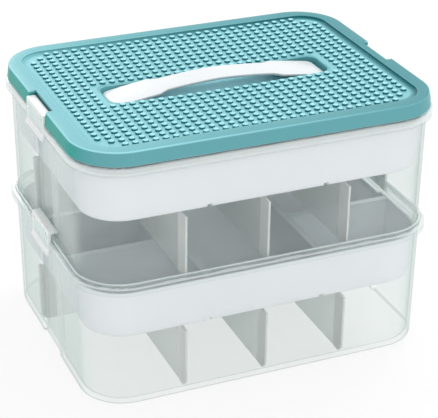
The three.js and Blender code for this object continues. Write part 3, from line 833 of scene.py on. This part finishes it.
gripValues = {
    "halfLength": 92,
    "halfWidth": 11.75,
    "endHalfWidth": 15.75,
    "endStart": 54,  # x from which an end has its full width
    "blend": 8,
    "corner": 5,
    "thickness": 2.4,
    "edge": 0.55,
    "leastSide": 0.05,  # half the height that stays upright on a side
    "sharpAngle": 45,
    # painted shade under the strap and on the lower half of its sides
    "underShade": 0.8,
    "top": 222.2,
    "arch": 10,
    "archPower": 1.6,
    "stations": 72,
    "postX": 84,
    "postHalf": (1.5, 6),
    "postRound": 0.4,
    "postLevels": (201.2, 203.2, 212),  # foot, top of the barb, and inside the strap
    "barb": 1.2,
    "barbRise": 0.6,
}


def roundedSection(halfWidth, halfHeight, corner, steps=4):
    # A rounded rectangle ring, anticlockwise, as two arrays; the sizes are arrays of stations
    places, ups = [], []
    for quarter in range(4):
        angle = np.radians(np.linspace(0, 90, steps + 1) + 90 * quarter)[None, :]
        signY, signZ = [(1, 1), (-1, 1), (-1, -1), (1, -1)][quarter]
        places.append(signY * (halfWidth - corner) + corner * np.cos(angle))
        ups.append(signZ * (halfHeight - corner) + corner * np.sin(angle))
    return np.concatenate(places, axis=1), np.concatenate(ups, axis=1)


def makeStrap(values):
    # Stations along x as the sine of even angles; the width blends to the wider ends and follows
    # a circle at the corners, and the top falls off as a power of the distance
    length, edge, corner = values["halfLength"], values["edge"], values["corner"]
    x = length * np.sin(np.linspace(-math.pi / 2, math.pi / 2, values["stations"] + 1))
    reach = np.abs(x)
    share = np.clip((reach - values["endStart"] + values["blend"]) / values["blend"], 0, 1)
    share = share * share * (3 - 2 * share)  # eased at both ends
    width = values["halfWidth"] + (values["endHalfWidth"] - values["halfWidth"]) * share
    past = np.clip(reach - (length - corner), 0, corner)
    width = width - (corner - np.sqrt(corner ** 2 - past ** 2))
    pastEdge = np.clip(reach - (length - edge), 0, edge)
    height = values["thickness"] / 2 - (edge - np.sqrt(edge ** 2 - pastEdge ** 2))
    fall = values["arch"] * (reach / length) ** values["archPower"]
    middle = values["top"] - fall - values["thickness"] / 2
    sectionCorner = np.minimum(edge, height - values["leastSide"])[:, None]
    y, up = roundedSection(width[:, None], height[:, None], sectionCorner)
    rings = np.stack([x[:, None] + 0 * y, y, middle[:, None] + up], axis=-1)
    # Painted shade on the underside and the lower half of the sides
    return ringsToShell(rings, values["underShade"] * (up < 0))


def makePosts(values):
    # A post under each end of the strap, with a barb at its foot
    low, barbTop, high = values["postLevels"]
    halfX, halfY = values["postHalf"]
    postRound, barb = values["postRound"], values["barb"]
    rows = [(halfY, low), (halfY + barb, low + values["barbRise"]), (halfY + barb, barbTop),
            (halfY, barbTop), (halfY, high)]
    levels = [level(postRound, height, half=(halfX - postRound, reachY - postRound))
              for reachY, height in rows]
    return [moved(loft(levels, plainOutline), (side * values["postX"], 0, 0)) for side in (-1, 1)]


gripShells = [makeStrap(gripValues)] + makePosts(gripValues)
grip = meshFrom("grip_strap", gripShells, gripValues["sharpAngle"])
settle(grip, "handle", gripPlastic, ("handle",))
print("grip made")

latchValues = {
    "pinX": 145.3,
    "pinRise": 15.2,  # over the storey below
    "halfWidth": 21.5,
    "thickness": 2.4,
    "reach": 6.7,  # from the pin out to the plate's front
    "drop": 17.7,  # from the pin down to the plate's end
    "lipReach": 2,
    "lipDrop": 1.9,
    "lipEdge": 0.7,
    "flareHeight": 5,
    "flareSteps": 6,
    "corner": 1.1,
    "innerCorner": 1,
    "bead": (0.6, 2.8),  # how far it stands out, and its height
    "panelDepth": 0.35,
    "panelMargin": 3.6,
    "panelSlope": 1.2,
    "pinRadius": 0.9,
    "pinHalf": 23.4,
    "pinSides": 16,
    "edge": 0.25,
}


def latchSection(values):
    # Side view about the pin as x, z and whether it belongs to the panel: the barrel, the back of
    # the plate with its bead, the flared finger lip, the front with its panel and the top corner
    half, drop, reach = values["thickness"] / 2, values["drop"], values["reach"]
    inner, innerCorner = reach - values["thickness"], values["innerCorner"]
    beadOut, beadLength = values["bead"]
    beadTop = beadLength - drop
    section = arc(0, 0, half, 90, 270, steps=10)
    section += arc(inner - innerCorner, -half - innerCorner, innerCorner, 90, 0)
    section += [(inner, beadTop), (inner - beadOut, beadTop - beadOut), (inner - beadOut, beadOut - drop),
                (inner, -drop)]
    lipOut, lipLow, lipEdge = reach + values["lipReach"], -drop - values["lipDrop"], values["lipEdge"]
    section += arc(lipOut - lipEdge, lipLow, lipEdge, -90, 0)
    # The front of the lip is a concave quarter: in by a sine of the height, up to the plate
    share = np.linspace(0, 1, values["flareSteps"] + 1)[1:]
    flareX = reach + values["lipReach"] * (1 - np.sin(share * math.pi / 2))
    section += list(zip(flareX, lipLow + values["flareHeight"] * share))
    margin, slope, corner = values["panelMargin"], values["panelSlope"], values["corner"]
    low, high = margin - drop, half - margin
    front = [(reach, low - slope, 0), (reach, low, 1), (reach, high, 1), (reach, high + slope, 0)]
    topCorner = arc(reach - corner, half - corner, corner, 0, 90)
    return np.array(toned(section, 0) + front + toned(topCorner, 0))


def makeLatch(values, side, height):
    # The section swept across the box from +y to -y; the panel is set back on the inner stations
    sectionX, sectionZ, inSection = latchSection(values).T
    half, slope = values["halfWidth"], values["panelSlope"]
    panel = half - values["panelMargin"]
    stations = np.array([half, panel + slope, panel, -panel, -panel - slope, -half])[:, None]
    inPanel = (np.abs(stations) <= panel) * inSection
    x = sectionX - values["panelDepth"] * inPanel
    plate = np.stack([x, stations + 0 * x, sectionZ + 0 * x], axis=-1)
    angle = -np.arange(values["pinSides"]) / values["pinSides"] * 2 * math.pi
    ends = np.array([-values["pinHalf"], values["pinHalf"]])[:, None]
    pinX, pinZ = values["pinRadius"] * np.sin(angle), values["pinRadius"] * np.cos(angle)
    pin = np.stack([pinX + 0 * ends, ends + 0 * angle, pinZ + 0 * ends], axis=-1)
    shells = []
    # The panel's tone paints shade into its recess
    for points, faces, tones in (ringsToShell(plate, inPanel), ringsToShell(pin)):
        turned = (points * (side, side, 1), faces, tones)
        shells.append(moved(turned, (side * values["pinX"], 0, height)))
    return shells


for prefix, height in (("tub", tubValues["storey"]), ("lid", tubValues["storey"] * 2)):
    for word, side in (("left", -1), ("right", 1)):
        node = prefix + "_latch_" + word
        latch = meshFrom(node + "_clip", makeLatch(latchValues, side, height + latchValues["pinRise"]))
        softenEdges(latch, latchValues["edge"])
        settle(latch, node, latchPlastic, (node,))
print("latches made")

studioValues = {
    "floorSize": 9000,
    "floorHeight": -0.4,
    "floorTone": (0.93, 0.93, 0.93),
    "floorGlow": 0.85,  # how much of it is seen as plain white
    "paperScale": 40,
    "paperShade": 0.99,
    "paperRoughness": 0.9,
    "paperGloss": 0.1,
    "ambient": 0.76,
    "lampAim": (0, 0, 100),
    "lamps": {  # place, size and power
        "key": ((1000, 740, 2100), 900, 19),
        "fill": ((-300, -2200, 1300), 1600, 8.5),
        "edge": ((-53, 1377, 806), 500, 3.2),
    },
}


def backdropRays(nodes, links):
    # 1 for the rays that should meet a plain white background: seen, mirrored or passed through
    lightPath = nodes.new("ShaderNodeLightPath")
    seen = lightPath.outputs["Is Camera Ray"]
    for other in ("Is Glossy Ray", "Is Transmission Ray"):
        seen = calculate(nodes, links, "MAXIMUM", seen, lightPath.outputs[other])
    return seen


def makeFloor(values):
    # A sheet of paper, which the camera sees partly as plain white, so that only the object's
    # shadow shows on it
    reach, height = values["floorSize"] / 2 / 1000, values["floorHeight"] / 1000
    mesh = bpy.data.meshes.new("floor")
    mesh.from_pydata([(x * reach, y * reach, height) for x, y in ((-1, -1), (1, -1), (1, 1), (-1, 1))], [],
                     [(0, 1, 2, 3)])
    material, nodes, links, shader, place = startMaterial("floor_paper")
    paper = noise(nodes, links, place, values["paperScale"])
    shade = [value * values["paperShade"] for value in values["floorTone"]]
    links.new(blendColours(nodes, links, paper, values["floorTone"], shade), shader.inputs["Base Color"])
    shader.inputs["Roughness"].default_value = values["paperRoughness"]
    shader.inputs["Specular IOR Level"].default_value = values["paperGloss"]
    glow = nodes.new("ShaderNodeEmission")
    share = spread(nodes, links, backdropRays(nodes, links), 0, values["floorGlow"], 0, 1)
    lit = mixShaders(nodes, links, share, shader.outputs["BSDF"], glow.outputs["Emission"])
    links.new(lit, nodes["Material Output"].inputs["Surface"])
    mesh.materials.append(material)
    return addObject("floor", mesh)


def makeWorld(values):
    # Soft light all round, and plain white for the rays that should meet the background
    world = bpy.data.worlds.new("studio")
    bpy.context.scene.world = world
    world.use_nodes = True
    nodes, links = world.node_tree.nodes, world.node_tree.links
    soft, white = nodes["Background"], nodes.new("ShaderNodeBackground")
    for background, strength in ((soft, values["ambient"]), (white, 1)):
        background.inputs["Strength"].default_value = strength
        background.inputs["Color"].default_value = (1, 1, 1, 1)
    chosen = mixShaders(nodes, links, backdropRays(nodes, links), soft.outputs["Background"],
                        white.outputs["Background"])
    links.new(chosen, nodes["World Output"].inputs["Surface"])


def addLamp(name, place, size, power, aim):
    lampData = bpy.data.lights.new(name, "AREA")
    lampData.size = size / 1000
    lampData.energy = power
    lamp = addObject(name, lampData)
    lamp.location = [value / 1000 for value in place]
    direction = Vector([value / 1000 for value in aim]) - lamp.location
    lamp.rotation_euler = direction.to_track_quat("-Z", "Y").to_euler()


floor = makeFloor(studioValues)
makeWorld(studioValues)
for name, (place, size, power) in studioValues["lamps"].items():
    addLamp(name, place, size, power, studioValues["lampAim"])

bpy.context.scene.view_settings.view_transform = "Standard"
# Sight runs through many clear walls and dividers, two faces each
bpy.context.scene.cycles.transparent_max_bounces = 32
print("studio made")
